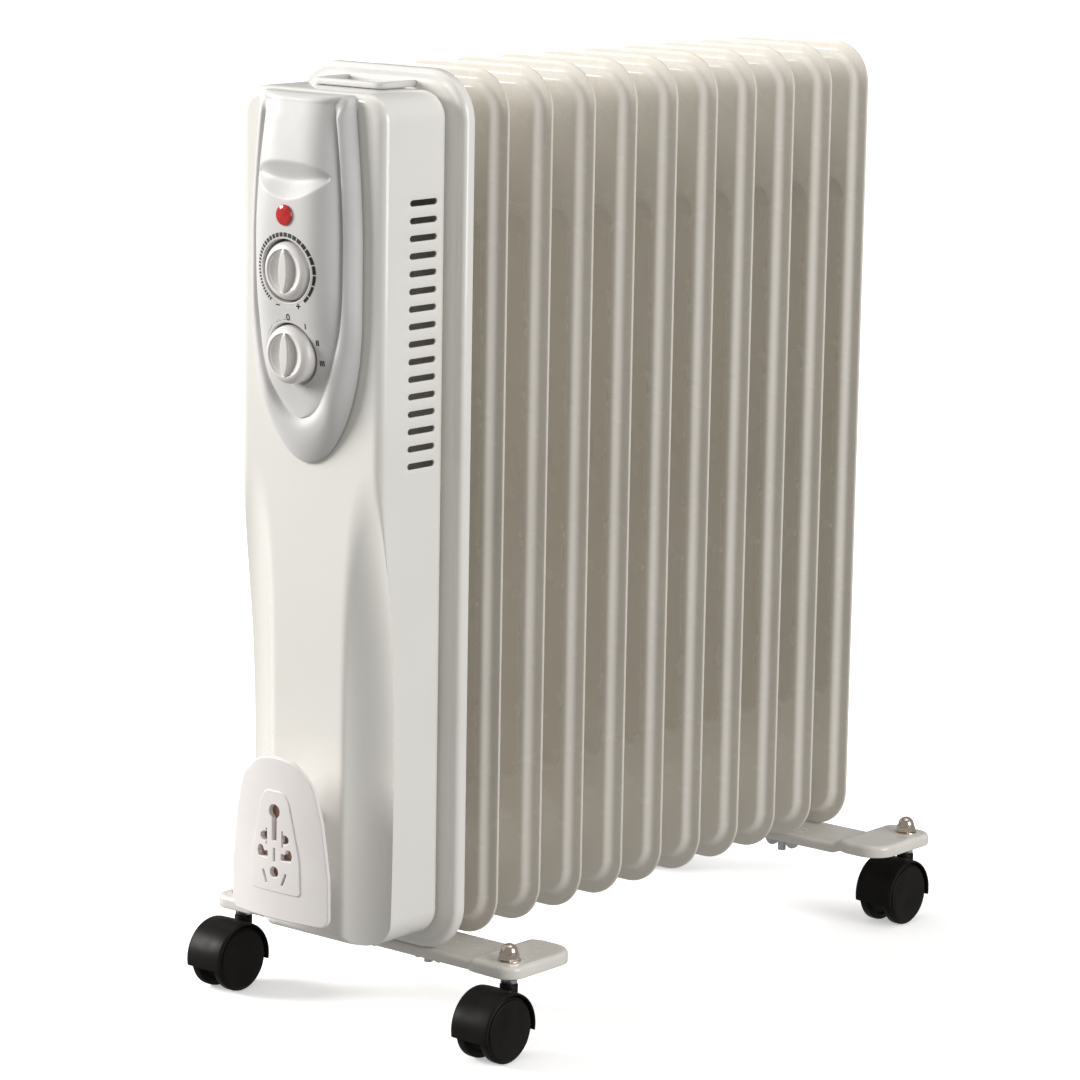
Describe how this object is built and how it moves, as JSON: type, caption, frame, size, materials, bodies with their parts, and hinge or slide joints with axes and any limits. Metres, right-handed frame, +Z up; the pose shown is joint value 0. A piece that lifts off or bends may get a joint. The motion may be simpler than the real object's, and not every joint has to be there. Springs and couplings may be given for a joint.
{
  "type": "oil filled radiator heater",
  "caption": "Oil filled radiator heater: pressed steel fins on twin-wheel castors, with a control casing, two dials, a top grip and a cord holder.",
  "frame": {"origin": "on the floor, at the middle of the whole heater's width and depth", "axes": "+Z up, -Y towards the control side, +X across the fins"},
  "size_m": [0.271, 0.564, 0.6407],
  "materials": {
    "fin_paint": "glossy warm white enamel on pressed steel",
    "casing_paint": "glossy warm white enamel on sheet steel",
    "panel_plastic": "satin off-white moulding",
    "knob_plastic": "satin off-white moulding",
    "red_lens": "clear red moulding",
    "lamp_glass": "clear neon lamp",
    "control_plastic": "moulded control housing",
    "zinc_steel": "zinc plated",
    "element_steel": "annealed tube",
    "gasket_fibre": "pressed fibre",
    "bush_rubber": "matt",
    "block_ceramic": "unglazed",
    "nickel": "nickel plated",
    "black_nylon": "moulded nylon with a soft sheen"
  },
  "bodies": {
    "root": {"fin_01": "fin_paint", "fin_02": "fin_paint", "fin_03": "fin_paint", "fin_04": "fin_paint", "fin_05": "fin_paint", "fin_06": "fin_paint", "fin_07": "fin_paint", "fin_08": "fin_paint", "fin_09": "fin_paint", "fin_10": "fin_paint", "fin_11": "fin_paint", "upper_necks": "fin_paint", "lower_necks": "fin_paint", "rim_frame": "fin_paint", "casing_cover": "casing_paint", "control_panel": "panel_plastic", "indicator_lens": "red_lens", "indicator_lamp": "lamp_glass", "thermostat_body": "control_plastic", "power_switch": "control_plastic", "control_bracket": "zinc_steel", "thermal_cutout": "zinc_steel", "terminal_block": "block_ceramic", "heating_elements": "element_steel", "element_flange": "zinc_steel", "flange_gasket": "gasket_fibre", "filler_plug": "zinc_steel", "handle": "panel_plastic", "cord_holder": "panel_plastic", "cord_bush": "bush_rubber", "casing_screws": "nickel", "front_foot": "fin_paint", "rear_foot": "fin_paint", "u_bolts": "zinc_steel", "wing_nuts": "zinc_steel", "cap_nuts": "nickel", "front_left_stem": "zinc_steel", "front_right_stem": "zinc_steel", "rear_left_stem": "zinc_steel", "rear_right_stem": "zinc_steel"},
    "thermostat_dial": {"thermostat_knob": "knob_plastic", "thermostat_shaft": "zinc_steel"},
    "power_dial": {"power_knob": "knob_plastic", "switch_shaft": "zinc_steel"},
    "front_left_yoke": {"front_left_hood": "black_nylon", "front_left_axle": "zinc_steel"},
    "front_left_roller_a": {"front_left_wheel_a": "black_nylon"},
    "front_left_roller_b": {"front_left_wheel_b": "black_nylon"},
    "front_right_yoke": {"front_right_hood": "black_nylon", "front_right_axle": "zinc_steel"},
    "front_right_roller_a": {"front_right_wheel_a": "black_nylon"},
    "front_right_roller_b": {"front_right_wheel_b": "black_nylon"},
    "rear_left_yoke": {"rear_left_hood": "black_nylon", "rear_left_axle": "zinc_steel"},
    "rear_left_roller_a": {"rear_left_wheel_a": "black_nylon"},
    "rear_left_roller_b": {"rear_left_wheel_b": "black_nylon"},
    "rear_right_yoke": {"rear_right_hood": "black_nylon", "rear_right_axle": "zinc_steel"},
    "rear_right_roller_a": {"rear_right_wheel_a": "black_nylon"},
    "rear_right_roller_b": {"rear_right_wheel_b": "black_nylon"}
  },
  "joints": [
    {"name": "thermostat_turn", "type": "hinge", "parent": "root", "child": "thermostat_dial", "pos_m": [0, -0.263, 0.5142], "axis": [0, 1, 0], "range_deg": [-140, 140]},
    {"name": "power_turn", "type": "hinge", "parent": "root", "child": "power_dial", "pos_m": [0, -0.2615, 0.4601], "axis": [0, 1, 0], "range_deg": [0, 105]},
    {"name": "front_left_swivel", "type": "hinge", "parent": "root", "child": "front_left_yoke", "pos_m": [-0.12, -0.185, 0.045], "axis": [0, 0, 1], "continuous": true},
    {"name": "front_left_roll_a", "type": "hinge", "parent": "front_left_yoke", "child": "front_left_roller_a", "pos_m": [-0.12, -0.2, 0.0225], "axis": [1, 0, 0], "continuous": true},
    {"name": "front_left_roll_b", "type": "hinge", "parent": "front_left_yoke", "child": "front_left_roller_b", "pos_m": [-0.12, -0.2, 0.0225], "axis": [1, 0, 0], "continuous": true},
    {"name": "front_right_swivel", "type": "hinge", "parent": "root", "child": "front_right_yoke", "pos_m": [0.12, -0.185, 0.045], "axis": [0, 0, 1], "continuous": true},
    {"name": "front_right_roll_a", "type": "hinge", "parent": "front_right_yoke", "child": "front_right_roller_a", "pos_m": [0.12, -0.2, 0.0225], "axis": [1, 0, 0], "continuous": true},
    {"name": "front_right_roll_b", "type": "hinge", "parent": "front_right_yoke", "child": "front_right_roller_b", "pos_m": [0.12, -0.2, 0.0225], "axis": [1, 0, 0], "continuous": true},
    {"name": "rear_left_swivel", "type": "hinge", "parent": "root", "child": "rear_left_yoke", "pos_m": [-0.12, 0.266, 0.045], "axis": [0, 0, 1], "continuous": true},
    {"name": "rear_left_roll_a", "type": "hinge", "parent": "rear_left_yoke", "child": "rear_left_roller_a", "pos_m": [-0.12, 0.251, 0.0225], "axis": [1, 0, 0], "continuous": true},
    {"name": "rear_left_roll_b", "type": "hinge", "parent": "rear_left_yoke", "child": "rear_left_roller_b", "pos_m": [-0.12, 0.251, 0.0225], "axis": [1, 0, 0], "continuous": true},
    {"name": "rear_right_swivel", "type": "hinge", "parent": "root", "child": "rear_right_yoke", "pos_m": [0.12, 0.266, 0.045], "axis": [0, 0, 1], "continuous": true},
    {"name": "rear_right_roll_a", "type": "hinge", "parent": "rear_right_yoke", "child": "rear_right_roller_a", "pos_m": [0.12, 0.251, 0.0225], "axis": [1, 0, 0], "continuous": true},
    {"name": "rear_right_roll_b", "type": "hinge", "parent": "rear_right_yoke", "child": "rear_right_roller_b", "pos_m": [0.12, 0.251, 0.0225], "axis": [1, 0, 0], "continuous": true}
  ]
}
